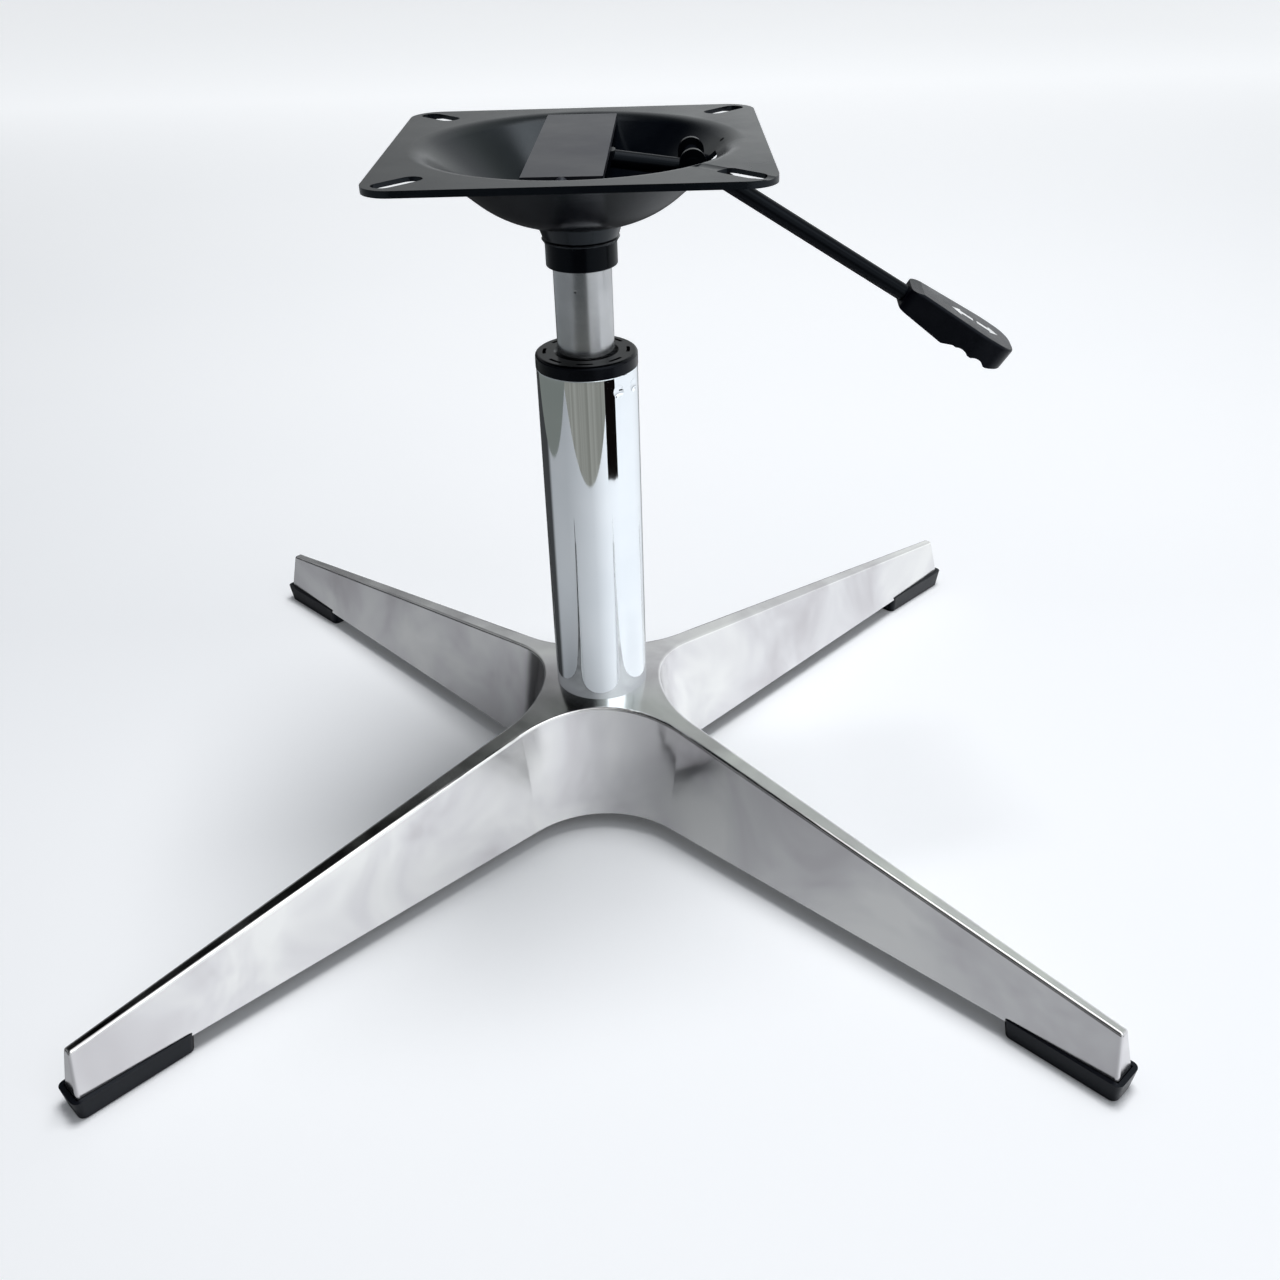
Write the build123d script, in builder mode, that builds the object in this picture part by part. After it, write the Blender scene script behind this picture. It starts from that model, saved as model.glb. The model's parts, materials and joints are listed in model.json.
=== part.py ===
from build123d import *
import os
from math import atan, cos, degrees, pi, radians, sin, sqrt, tan

os.makedirs("parts", exist_ok=True)

# Swivel chair base: a four-arm cast star on soft pads, a chromed column with a
# gas cylinder that slides and turns in it, and a pressed seat plate with the
# release lever under it. The origin is on the floor at the column's axis. The
# arms lie along X and Y. The seat plate's edges and the lever stand at 45 degrees.

# Fits and clearances
running_fit = 0.05          # radial play of a part that slides or turns in another
seat_fit = 0.02             # radial play of a part that is pressed or glued in
axial_play = 0.05           # end play in the bearing
free_gap = 0.3              # between parts of different bodies that don't touch
right_through = 400.0       # longer than anything that is cut through

# Star base
arm_count = 4
arm_reach = 328.0           # axis to the end of an arm, at the arm's lower edge
arm_root = 66.0             # axis to where an arm leaves the hub's curve
arm_half_root = 15.3        # half width of an arm's lower edge at its root
arm_half_tip = 6.6          # half width of an arm's lower edge at its end
arm_bottom = 10.5           # height of the arms' lower edge
draft = radians(9.4)        # lean of every side wall
ridge_root_height = 70.2    # height of the ridge at the arm's root
ridge_tip_height = 34.8     # height of the ridge at the arm's end
ridge_corner = 23.07        # axis to where the ridges' lines would meet the hub's top
ridge_blend = 240.0         # radius between the hub's top and the ridges
edge_round = 1.7            # rounding along the ridges
tip_round = 1.6             # rounding of the upright edges at an arm's end
arm_overlap = 8.0           # how far an arm's block reaches into the hub
roof_spare = 3.0            # how far the blocks stand up before the roof cuts them back
cast_wall = 3.0
boss_wall = 5.0             # wall of the boss round the column
ledge_rise = 4.5            # what the column stands on, above the arms' lower edge
ledge_width = 6.0
arm_hollow_start = 45.0
arm_hollow_end = 316.0
arm_roof_root = 7.0         # metal over the arm's hollow at its start
arm_roof_tip = 11.4         # and at its end
hub_roof = 18.0             # metal over the hub's hollow
rib_thick = 2.5
rib_recess = 13.5           # from the arms' lower edge up to the webs
rib_places = (120.0, 190.0)  # webs across the underside of an arm, from the axis

# Foot pads
pad_length = 59.0
pad_proud = 2.4             # how far a pad stands out past the end of an arm
pad_half = 9.0              # half width at the lip
pad_half_floor = 7.6        # half width on the floor
pad_lip = 1.5               # height of the lip above the arm's lower edge
pad_corner = 3.5
pad_sole_round = 1.2
pad_plug_half = 2.4
pad_plug_length = 34.0
pad_plug_height = 7.0
pad_plug_gap = 1.5          # from the end of the arm's hollow to the pad's plug

# Column
tube_radius = 25.0
tube_wall = 2.0
tube_top = 257.5
tube_edge = 0.6             # rounding of the tube's upper edge
stake_drop = 7.5            # tube's top to the middle of the dents that hold the bush
stake_radius = 7.0
stake_depth = 0.9
stake_angles = (-6, 20, 174, 200)
floor_plate_thick = 4.0

# Guide bush
flange_radius = 25.2
flange_thick = 6.8
bush_length = 80.0          # below the flange
bush_guide = 26.0           # length of the close bore at each end
bush_relief = 0.7           # how much wider the bore is between
bush_groove_half = 5.0
bush_groove_depth = 1.3
bush_mouth = 1.8            # chamfer at the top of the bore
pocket_count = 8
pocket_radius = 20.6
pocket_width = 1.7
pocket_span = 18            # degrees
pocket_depth = 1.4

# Bearing
ball_radius = 2.0
ball_count = 9
ball_circle = 8.0
race_thick = 2.0
race_outer = 11.0
cage_half = 0.9
cage_gap = 0.15

# Rod and what is on it
rod_radius = 5.0
spindle_radius = 4.0
clip_thick = 1.2
clip_outer = 6.6
clip_groove = 3.2
clip_rise = 0.5             # spindle end to the clip
washer_thick = 1.2
washer_outer = 9.0
buffer_length = 14.0
buffer_outer = 10.5
piston_gap = 5.0            # rod's seal to the piston, with the seat at its highest
piston_length = 10.0
rod_head = 1.5              # spindle end above the piston

# Gas cylinder
cylinder_radius = 14.0
cylinder_bottom = 150.0
cylinder_drop = 16.0        # seat plate's top to the cylinder's top
cylinder_wall = 1.5
cylinder_lip = 3.0          # thickness of the turned-in foot
cylinder_foot_hole = 10.7
taper_length = 38.5         # from the cylinder's top down
taper_drop = 1.0            # how much smaller the radius is at the top
valve_length = 43.0
valve_radius = 11.4
valve_lip = 2.0
inner_tube_radius = 10.0
inner_tube_wall = 1.0
rod_guide_length = 14.0
rod_seal_length = 4.0
valve_spigot = 5.0
pin_radius = 3.0
pin_head_radius = 4.6
pin_head_length = 4.0
pin_round = 1.0
pin_gap = 0.3
seal_radius = 1.0
valve_seal_places = (12.0, 28.0)  # above the valve's lower face

# Seat plate
plate_top = 361.0
plate_side = 170.0
plate_corner = 14.0
sheet = 2.0
lip_depth = 3.0             # thickness at the flange's turned edge
lip_width = 2.4
slot_circle = 99.0          # axis to the middle of a slot
slot_length = 24.0
slot_width = 10.0
bowl_depth = 35.1           # plate's top to the bowl's underside at the sleeve
bowl_knee_reach = 19.2      # from the sleeve to where the bowl's floor meets its slope
bowl_knee_rise = 3.3        # and how much higher that is
bowl_slope = radians(40)
bowl_knee_radius = 55.0
rim_radius = 11.0
bowl_join = 82.0            # radius at which the bowl's turned part ends
neck_length = 7.4
neck_radius = 17.8
neck_top_radius = 20.3
neck_bead = 0.6             # bead round the neck's lower edge
window_half = 7.0
window_inner = 50.0
window_outer = 80.0
window_drop = 6.5           # plate's top to the window's upper edge
window_height = 20.5
crease_radius = 14.0
crease_depth = 0.5
crease_start = 74.0
pin_hole_radius = 1.0
pin_hole_place = (67.5, 11)  # distance from the axis, and degrees from the lever

# Socket sleeve and strap
sleeve_radius = 17.0
sleeve_drop = 20.0          # plate's top to the sleeve's upper end
sleeve_edge = 0.6           # rounding of its lower edge
strap_width = 34.0
strap_inset = 3.7           # its ends stop short of the corner between slope and flange
strap_thick = 3.0
strap_skew = 1.5            # degrees that it is welded out of square
strap_shift = 1.5           # how far its middle lies from the axis, away from the lever

# Lever
lever_angle = 45.0
pivot_place = 52.0          # axis to the lever's pivot
pivot_drop = 8.5            # plate's top to the lever's pivot
rod_drop = 4.2              # how far the rod's middle passes below the pivot
inner_slope = radians(8.3)
outer_slope = radians(32.3)
bend_place = 60.0
lever_radius = 4.0
bend_radius = 16.0
blade_inner = -6.0
blade_outer = 17.5
blade_lap = 2.0             # how far it runs onto the rod
blade_thick = 3.9
blade_half = 5.5
hub_radius = 4.0            # cross tube on the rod that turns on the pivot
pivot_radius = 2.5
pivot_head = 1.2
pivot_head_radius = 3.4
ear_inner_face = 11.7
ear_thick = 2.6
ear_half = 6.0
ear_rise = 7.1              # pivot to the top of an ear
rod_end_place = 194.0

# Handle, measured along the lever's outer stretch from where the rod enters it
handle_place = 152.5
handle_roll = 5.0           # degrees that it is turned on the rod, face towards the left
handle_start = 0.4
handle_end = 60.5
handle_ramp = 6.0           # length of the bevel at the root's top
handle_top = 6.6
handle_root = 5.2           # half thickness where the rod enters
handle_belly = (26.0, -7.7)  # the deepest point of the underside
handle_step = (31.5, -5.4)  # where the finger hollows begin
handle_heel = (51.5, -6.4)
handle_nose = -3.8          # height of the tip's lower edge
handle_root_half = 9.0      # half widths: at the root, at the widest and at the tip
handle_wide = (43.0, 14.0)
handle_tip_half = 12.4
handle_root_round = 4.0
handle_wide_round = 30.0
handle_tip_round = 10.0
finger_radius = 6.0
finger_places = (36.5, 46.0)
finger_depth = 0.8
handle_round = 1.4

# Star base: shared shapes
edge_slope = (arm_half_root - arm_half_tip) / (arm_reach - arm_root)
bay_turn = pi / arm_count - atan(edge_slope)
root_along = (arm_root + arm_half_root) / sqrt(2)
root_across = (arm_root - arm_half_root) / sqrt(2)
bay_radius = root_across / sin(bay_turn)
bay_centre = root_along + bay_radius * cos(bay_turn)
ridge_fall = (ridge_root_height - ridge_tip_height) / (arm_reach - arm_root)


def arm_half(place, height=arm_bottom):
    """Half width of an arm at a distance from the axis and at a height."""
    return arm_half_root - (place - arm_root) * edge_slope - (height - arm_bottom) * tan(draft)


def star_plan(plane, inset, reach):
    """The hub and the roots of the arms in plan, drawn in by inset."""
    arc = bay_radius + inset
    along = bay_centre - arc * cos(bay_turn)
    across = arc * sin(bay_turn)
    corner = ((along + across) / sqrt(2), (along - across) / sqrt(2))
    middle = bay_centre / sqrt(2)
    hub_half_width = arm_half(0) - inset
    end_half = arm_half(reach) - inset
    with BuildSketch(plane) as plan:
        with PolarLocations(0, arm_count):
            Polygon(
                (0, hub_half_width), (0, -hub_half_width),
                (reach, -end_half), (reach, end_half), align=None,
            )
            Polygon((0, 0), corner, (middle, middle), corner[::-1], align=None)
        with PolarLocations(bay_centre, arm_count, start_angle=180 / arm_count):
            Circle(arc, mode=Mode.SUBTRACT)
    return plan.sketch


def arm_section(place, inset, low, high):
    """The upright section of an arm at a distance from the axis."""
    with BuildSketch(Plane.YZ.offset(place)) as section:
        wide = arm_half(place, low) - inset
        narrow = arm_half(place, high) - inset
        Polygon((-wide, low), (wide, low), (narrow, high), (-narrow, high), align=None)
    return section.sketch


def ring(inner, outer, low, high):
    """A plain ring about the axis, between two heights."""
    with BuildPart(Plane.XY.offset(low)) as blank:
        Cylinder(outer, high - low, align=(Align.CENTER, Align.CENTER, Align.MIN))
        if inner > 0:
            Cylinder(
                inner, high - low, align=(Align.CENTER, Align.CENTER, Align.MIN),
                mode=Mode.SUBTRACT,
            )
    return blank.part


# The casting's outer form: hub, arms, and the roof that both are cut back to
ridge_at_axis = ridge_root_height + arm_root * ridge_fall
hub_top = ridge_at_axis - ridge_corner * ridge_fall
arm_start = arm_root - arm_overlap
roof_reach = arm_reach + roof_spare
ledge_height = arm_bottom + ledge_rise

with BuildPart() as hub_block:
    add(star_plan(Plane.XY.offset(arm_bottom), 0, arm_root + 2 * arm_half_root))
    extrude(amount=hub_top - arm_bottom + roof_spare, taper=degrees(draft))
    Box(2 * arm_root, 2 * arm_root, right_through, mode=Mode.INTERSECT)

with BuildPart() as arm_block:
    add(arm_section(arm_start, 0, arm_bottom, ridge_at_axis - arm_start * ridge_fall + roof_spare))
    add(arm_section(arm_reach, 0, arm_bottom, ridge_tip_height + roof_spare))
    loft(ruled=True)
    with BuildSketch(Plane.XZ) as end_lean:
        Polygon(
            (arm_reach, arm_bottom), (arm_reach + hub_top, arm_bottom),
            (arm_reach + hub_top, hub_top),
            (arm_reach - (hub_top - arm_bottom) * tan(draft), hub_top), align=None,
        )
    extrude(amount=arm_half_root, both=True, mode=Mode.SUBTRACT)
    fillet(arm_block.faces().sort_by(Axis.X)[-1].edges().sort_by(SortBy.LENGTH)[-2:], tip_round)

with BuildPart() as roof:
    with BuildSketch(Plane((0, 0, 0), x_dir=(1, 1, 0), z_dir=(1, -1, 0))):
        with BuildLine():
            FilletPolyline(
                (0, hub_top), (ridge_corner, hub_top),
                (roof_reach, ridge_at_axis - roof_reach * ridge_fall), radius=ridge_blend,
            )
            Polyline(
                (roof_reach, ridge_at_axis - roof_reach * ridge_fall),
                (roof_reach, 0), (0, 0), (0, hub_top),
            )
        make_face()
    revolve(axis=Axis.Z)

# The casting's hollow underside
hollow_root_height = ridge_at_axis - arm_hollow_start * ridge_fall - arm_roof_root
hollow_tip_height = ridge_at_axis - arm_hollow_end * ridge_fall - arm_roof_tip

with BuildPart() as hollow:
    add(star_plan(Plane.XY.offset(arm_bottom), cast_wall, arm_root))
    extrude(amount=hub_top - hub_roof - arm_bottom, taper=degrees(draft))
    Cylinder(tube_radius + boss_wall, right_through, mode=Mode.SUBTRACT)

with BuildPart() as arm_hollow:
    add(arm_section(arm_hollow_start, cast_wall, arm_bottom, hollow_root_height))
    add(arm_section(arm_hollow_end, cast_wall, arm_bottom, hollow_tip_height))
    loft(ruled=True)
    for place in rib_places:
        with Locations((place, 0, arm_bottom + rib_recess)):
            Box(
                rib_thick, 2 * arm_half_root, hub_top,
                align=(Align.CENTER, Align.CENTER, Align.MIN), mode=Mode.SUBTRACT,
            )

with BuildPart() as star_base:
    add(hub_block.part)
    with PolarLocations(0, arm_count):
        add(arm_block.part)
    add(roof.part, mode=Mode.INTERSECT)
    upward = star_base.faces().filter_by(lambda f: f.normal_at().Z > 0.5)
    every = upward.edges()
    fillet([e for e in every if sum(e.is_same(other) for other in every) == 1], edge_round)
    add(hollow.part, mode=Mode.SUBTRACT)
    with PolarLocations(0, arm_count):
        add(arm_hollow.part, mode=Mode.SUBTRACT)
    with Locations((0, 0, ledge_height)):
        Cylinder(
            tube_radius + running_fit, hub_top,
            align=(Align.CENTER, Align.CENTER, Align.MIN), mode=Mode.SUBTRACT,
        )
    Cylinder(tube_radius - ledge_width, right_through, mode=Mode.SUBTRACT)

star_base.part.label = "star_base"
export_step(star_base.part, "parts/star_base.step")

# Foot pads: a soft block under each arm's end, with a lip round the arm and a plug in it
pad_outer = arm_reach + pad_proud
pad_middle = pad_outer - pad_length / 2
pad_top = arm_bottom + pad_lip

with BuildPart() as pad_block:
    for height, half in ((0, pad_half_floor), (pad_top, pad_half)):
        with BuildSketch(Plane.XY.offset(height)):
            with Locations((pad_middle, 0)):
                RectangleRounded(pad_length - 2 * (pad_half - half), 2 * half, pad_corner)
    loft()
    fillet(pad_block.faces().sort_by(Axis.Z)[0].edges(), pad_sole_round)
    with BuildSketch(Plane.XY.offset(arm_bottom)):
        Polygon(
            (0, arm_half(0) + seat_fit), (arm_reach + seat_fit, arm_half_tip + seat_fit),
            (arm_reach + seat_fit, -arm_half_tip - seat_fit), (0, -arm_half(0) - seat_fit), align=None,
        )
    extrude(amount=pad_lip, mode=Mode.SUBTRACT)
    with Locations((arm_hollow_end - pad_plug_gap, 0, arm_bottom)):
        Box(
            pad_plug_length, 2 * pad_plug_half, pad_plug_height,
            align=(Align.MAX, Align.CENTER, Align.MIN),
        )

for number in range(arm_count):
    with BuildPart() as foot_pad:
        add(pad_block.part.rotate(Axis.Z, 360 / arm_count * number))
    foot_pad.part.label = f"foot_pad_{number + 1}"
    export_step(foot_pad.part, f"parts/foot_pad_{number + 1}.step")

# Column tube, standing on the casting's ledge, with round dents that hold the bush
tube_bore = tube_radius - tube_wall
stake_centre = tube_radius + stake_radius - stake_depth
stake_height = tube_top - stake_drop

with BuildPart() as stake_bulge:
    with PolarLocations(stake_centre, 1):
        Sphere(stake_radius + tube_wall)
    Cylinder(tube_radius - tube_wall / 2, tube_radius, mode=Mode.INTERSECT)

with BuildPart() as column_tube:
    add(ring(tube_bore, tube_radius, ledge_height, tube_top))
    fillet(column_tube.edges().group_by(Axis.Z)[-1].sort_by(SortBy.RADIUS)[-1:], tube_edge)
    for angle in stake_angles:
        with Locations(Location((0, 0, stake_height), (0, 0, angle))):
            add(stake_bulge.part)
            with Locations((stake_centre, 0, 0)):
                Sphere(stake_radius, mode=Mode.SUBTRACT)

column_tube.part.label = "column_tube"
export_step(column_tube.part, "parts/column_tube.step")

# Floor plate inside the foot of the column, on the same ledge
floor_plate_top = ledge_height + floor_plate_thick

with BuildPart() as column_floor:
    add(ring(spindle_radius + running_fit, tube_bore - seat_fit, ledge_height, floor_plate_top))

column_floor.part.label = "column_floor"
export_step(column_floor.part, "parts/column_floor.step")

# Guide bush: a long plastic sleeve with a flange on top of the tube
flange_top = tube_top + flange_thick
bush_bottom = tube_top - bush_length
bush_bore = cylinder_radius + running_fit

with BuildPart() as guide_bush:
    add(ring(bush_bore, tube_bore - seat_fit, bush_bottom, tube_top))
    add(ring(bush_bore, flange_radius, tube_top, flange_top))
    fillet(guide_bush.edges().group_by(Axis.Z)[-1].sort_by(SortBy.RADIUS)[-1:], edge_round)
    chamfer(guide_bush.edges().group_by(Axis.Z)[-1].sort_by(SortBy.RADIUS)[:1], bush_mouth)
    add(
        ring(bush_bore, bush_bore + bush_relief, bush_bottom + bush_guide, flange_top - bush_guide),
        mode=Mode.SUBTRACT,
    )
    add(
        ring(
            tube_bore - bush_groove_depth, tube_bore,
            stake_height - bush_groove_half, stake_height + bush_groove_half,
        ),
        mode=Mode.SUBTRACT,
    )
    with BuildSketch(Plane.XY.offset(flange_top)):
        with PolarLocations(0, pocket_count):
            SlotArc(
                CenterArc((0, 0), pocket_radius, -pocket_span / 2, pocket_span, mode=Mode.PRIVATE),
                pocket_width,
            )
    extrude(amount=-pocket_depth, mode=Mode.SUBTRACT)

guide_bush.part.label = "guide_bush"
export_step(guide_bush.part, "parts/guide_bush.step")

# Thrust bearing on the floor plate: two races, a cage and its balls
lower_race_top = floor_plate_top + race_thick
ball_height = lower_race_top + axial_play + ball_radius
upper_race_bottom = ball_height + ball_radius + axial_play
upper_race_top = upper_race_bottom + race_thick
race_bore = spindle_radius + running_fit

with BuildPart() as lower_race:
    add(ring(race_bore, race_outer, floor_plate_top, lower_race_top))

lower_race.part.label = "lower_race"
export_step(lower_race.part, "parts/lower_race.step")

with BuildPart() as upper_race:
    add(ring(race_bore, race_outer, upper_race_bottom, upper_race_top))

upper_race.part.label = "upper_race"
export_step(upper_race.part, "parts/upper_race.step")

with BuildPart() as ball_cage:
    add(
        ring(
            race_bore + free_gap, race_outer,
            ball_height - cage_half, ball_height + cage_half,
        )
    )
    with Locations((0, 0, ball_height)):
        with PolarLocations(ball_circle, ball_count):
            Cylinder(ball_radius + cage_gap, ball_height, mode=Mode.SUBTRACT)

ball_cage.part.label = "ball_cage"
export_step(ball_cage.part, "parts/ball_cage.step")

with BuildPart() as bearing_balls:
    with Locations((0, 0, ball_height)):
        with PolarLocations(ball_circle, ball_count):
            Sphere(ball_radius)

bearing_balls.part.label = "bearing_balls"
export_step(bearing_balls.part, "parts/bearing_balls.step")

# Piston rod, its clip and washer under the floor plate, and the buffer over the bearing
washer_top = ledge_height - free_gap
clip_top = washer_top - washer_thick
clip_bottom = clip_top - clip_thick
spindle_bottom = clip_bottom - clip_rise
guide_bottom = cylinder_bottom + cylinder_lip
guide_top = guide_bottom + rod_guide_length
seal_top = guide_top + rod_seal_length
piston_bottom = seal_top + piston_gap
piston_top = piston_bottom + piston_length

with BuildPart() as piston_rod:
    add(ring(0, spindle_radius, spindle_bottom, upper_race_top))
    add(ring(0, rod_radius, upper_race_top, piston_bottom))
    add(ring(0, spindle_radius, piston_bottom, piston_top + rod_head))
    add(ring(clip_groove, spindle_radius, clip_bottom, clip_top), mode=Mode.SUBTRACT)

piston_rod.part.label = "piston_rod"
export_step(piston_rod.part, "parts/piston_rod.step")

with BuildPart() as retaining_clip:
    add(ring(clip_groove, clip_outer, clip_bottom, clip_top))
    with Locations((clip_outer, 0, clip_bottom)):
        Box(
            2 * clip_outer, 2 * clip_groove, clip_thick,
            align=(Align.CENTER, Align.CENTER, Align.MIN), mode=Mode.SUBTRACT,
        )

retaining_clip.part.label = "retaining_clip"
export_step(retaining_clip.part, "parts/retaining_clip.step")

with BuildPart() as clip_washer:
    add(ring(race_bore, washer_outer, clip_top, washer_top))

clip_washer.part.label = "clip_washer"
export_step(clip_washer.part, "parts/clip_washer.step")

with BuildPart() as rubber_buffer:
    add(ring(rod_radius, buffer_outer, upper_race_top, upper_race_top + buffer_length))
    chamfer(rubber_buffer.edges().group_by(Axis.Z)[-1].sort_by(SortBy.RADIUS)[-1:], edge_round)

rubber_buffer.part.label = "rubber_buffer"
export_step(rubber_buffer.part, "parts/rubber_buffer.step")

# Piston on the rod's upper end, with a ring in its groove
inner_bore = inner_tube_radius - inner_tube_wall
piston_middle = (piston_bottom + piston_top) / 2
piston_radius = inner_bore - running_fit

with BuildPart() as piston:
    add(ring(spindle_radius, piston_radius, piston_bottom, piston_top))
    add(
        ring(
            piston_radius - seal_radius, piston_radius,
            piston_middle - seal_radius, piston_middle + seal_radius,
        ),
        mode=Mode.SUBTRACT,
    )

piston.part.label = "piston"
export_step(piston.part, "parts/piston.step")

with BuildPart() as piston_ring:
    add(
        ring(
            piston_radius - seal_radius, inner_bore - seat_fit,
            piston_middle - seal_radius, piston_middle + seal_radius,
        )
    )

piston_ring.part.label = "piston_ring"
export_step(piston_ring.part, "parts/piston_ring.step")

# Gas cylinder: a steel tube with a turned-in foot and a taper at its top
cylinder_bore = cylinder_radius - cylinder_wall
cylinder_top = plate_top - cylinder_drop
taper_start = cylinder_top - taper_length
taper_lean = taper_drop / taper_length
valve_top = cylinder_top - valve_lip
valve_bottom = valve_top - valve_length

with BuildPart() as gas_cylinder:
    with BuildSketch(Plane.XZ):
        Polygon(
            (cylinder_foot_hole, cylinder_bottom), (cylinder_radius, cylinder_bottom),
            (cylinder_radius, taper_start), (cylinder_radius - taper_drop, cylinder_top),
            (valve_radius - valve_lip, cylinder_top),
            (valve_radius - valve_lip, valve_top),
            (valve_radius, valve_top), (valve_radius, valve_bottom),
            (cylinder_bore, valve_bottom), (cylinder_bore, cylinder_bottom + cylinder_lip),
            (cylinder_foot_hole, cylinder_bottom + cylinder_lip), align=None,
        )
    revolve(axis=Axis.Z)

gas_cylinder.part.label = "gas_cylinder"
export_step(gas_cylinder.part, "parts/gas_cylinder.step")

with BuildPart() as rod_guide:
    add(ring(rod_radius + running_fit, cylinder_bore - seat_fit, guide_bottom, guide_top))

rod_guide.part.label = "rod_guide"
export_step(rod_guide.part, "parts/rod_guide.step")

with BuildPart() as rod_seal:
    add(ring(rod_radius + seat_fit, cylinder_bore - seat_fit, guide_top, seal_top))

rod_seal.part.label = "rod_seal"
export_step(rod_seal.part, "parts/rod_seal.step")

with BuildPart() as inner_tube:
    add(ring(inner_bore, inner_tube_radius, seal_top, valve_bottom))

inner_tube.part.label = "inner_tube"
export_step(inner_tube.part, "parts/inner_tube.step")

# Valve in the cylinder's top, and the pin that the lever presses
blade_top = plate_top - strap_thick - free_gap
blade_bottom = blade_top - blade_thick
pin_top = blade_bottom - pin_gap
pin_head_top = valve_bottom - valve_spigot - axial_play
seal_heights = [valve_bottom + place for place in valve_seal_places]

with BuildPart() as valve_body:
    add(ring(pin_radius + running_fit, valve_radius - seat_fit, valve_bottom, valve_top))
    add(
        ring(
            pin_radius + running_fit, inner_bore - seat_fit,
            valve_bottom - valve_spigot, valve_bottom,
        )
    )
    for height in seal_heights:
        add(
            ring(
                valve_radius - seat_fit - seal_radius, valve_radius,
                height - seal_radius, height + seal_radius,
            ),
            mode=Mode.SUBTRACT,
        )

valve_body.part.label = "valve_body"
export_step(valve_body.part, "parts/valve_body.step")

with BuildPart() as valve_seals:
    for height in seal_heights:
        add(
            ring(
                valve_radius - seat_fit - seal_radius, valve_radius,
                height - seal_radius, height + seal_radius,
            )
        )

valve_seals.part.label = "valve_seals"
export_step(valve_seals.part, "parts/valve_seals.step")

with BuildPart() as release_pin:
    add(ring(0, pin_radius, pin_head_top, pin_top))
    add(ring(0, pin_head_radius, pin_head_top - pin_head_length, pin_head_top))
    fillet(release_pin.edges().group_by(Axis.Z)[-1], pin_round)

release_pin.part.label = "release_pin"
export_step(release_pin.part, "parts/release_pin.step")

# Socket sleeve: a tapered seat for the cylinder's top
sleeve_top = plate_top - sleeve_drop

with BuildPart() as socket_sleeve:
    with BuildSketch(Plane.XZ):
        Polygon(
            (cylinder_radius + seat_fit, taper_start), (sleeve_radius, taper_start),
            (sleeve_radius, sleeve_top),
            (cylinder_radius + seat_fit - (sleeve_top - taper_start) * taper_lean, sleeve_top),
            align=None,
        )
    revolve(axis=Axis.Z)
    fillet(socket_sleeve.edges().group_by(Axis.Z)[0].sort_by(SortBy.RADIUS)[-1:], sleeve_edge)

socket_sleeve.part.label = "socket_sleeve"
export_step(socket_sleeve.part, "parts/socket_sleeve.step")

# Seat plate: a square flange pressed from one sheet with the bowl in its middle
plate_plane = Plane((0, 0, 0), x_dir=(1, 1, 0), z_dir=(0, 0, 1))
lever_side = Plane((0, 0, 0), x_dir=(1, 1, 0), z_dir=(1, -1, 0))
flange_underside = plate_top - sheet
bowl_start = plate_top - bowl_depth
knee_place = sleeve_radius + bowl_knee_reach
knee_height = bowl_start + bowl_knee_rise
rim_place = knee_place + (flange_underside - knee_height) / tan(bowl_slope)
neck_bottom = bowl_start - neck_length
window_top = plate_top - window_drop
crease_height = plate_top + crease_radius - crease_depth
pin_hole_x = pin_hole_place[0] * cos(radians(lever_angle + pin_hole_place[1]))
pin_hole_y = pin_hole_place[0] * sin(radians(lever_angle + pin_hole_place[1]))

with BuildPart() as seat_plate:
    with BuildSketch(lever_side):
        with BuildLine():
            skin = FilletPolyline(
                (sleeve_radius, bowl_start), (knee_place, knee_height),
                (rim_place, flange_underside), (bowl_join, flange_underside),
                radius=[bowl_knee_radius, rim_radius],
            )
            offset(skin, amount=sheet, side=Side.LEFT)
        make_face()
        Polygon(
            (sleeve_radius, neck_bottom), (neck_radius, neck_bottom),
            (neck_radius + neck_bead, neck_bottom + neck_bead),
            (neck_radius, neck_bottom + 2 * neck_bead),
            (neck_top_radius, bowl_start + neck_bead),
            (sleeve_radius, bowl_start + neck_bead), align=None,
        )
    revolve(axis=Axis.Z)
    add(ring(0, sleeve_radius, neck_bottom, plate_top), mode=Mode.SUBTRACT)
    with BuildSketch(plate_plane.offset(flange_underside)):
        RectangleRounded(plate_side, plate_side, plate_corner)
        Circle(bowl_join, mode=Mode.SUBTRACT)
        with PolarLocations(slot_circle, arm_count, start_angle=lever_angle):
            SlotOverall(slot_length, slot_width, mode=Mode.SUBTRACT)
    extrude(amount=sheet)
    with BuildSketch(plate_plane.offset(plate_top - lip_depth)):
        RectangleRounded(plate_side, plate_side, plate_corner)
        RectangleRounded(
            plate_side - 2 * lip_width, plate_side - 2 * lip_width,
            plate_corner - lip_width, mode=Mode.SUBTRACT,
        )
    extrude(amount=lip_depth)
    with BuildSketch(lever_side.offset(-window_half)):
        with BuildLine():
            Polyline(
                (window_inner, window_top - window_height),
                (window_outer, window_top - window_height),
                (window_outer, window_top), (window_inner, window_top), close=True,
            )
        make_face()
    extrude(amount=2 * window_half, mode=Mode.SUBTRACT)
    with Locations((pin_hole_x, pin_hole_y, plate_top)):
        Hole(pin_hole_radius)
    for turn in (lever_angle, lever_angle + 180):
        with Locations(Location((0, 0, crease_height), (0, 90, turn))):
            with Locations((0, 0, crease_start)):
                Cylinder(
                    crease_radius, plate_side,
                    align=(Align.CENTER, Align.CENTER, Align.MIN), mode=Mode.SUBTRACT,
                )

seat_plate.part.label = "seat_plate"
export_step(seat_plate.part, "parts/seat_plate.step")

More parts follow.
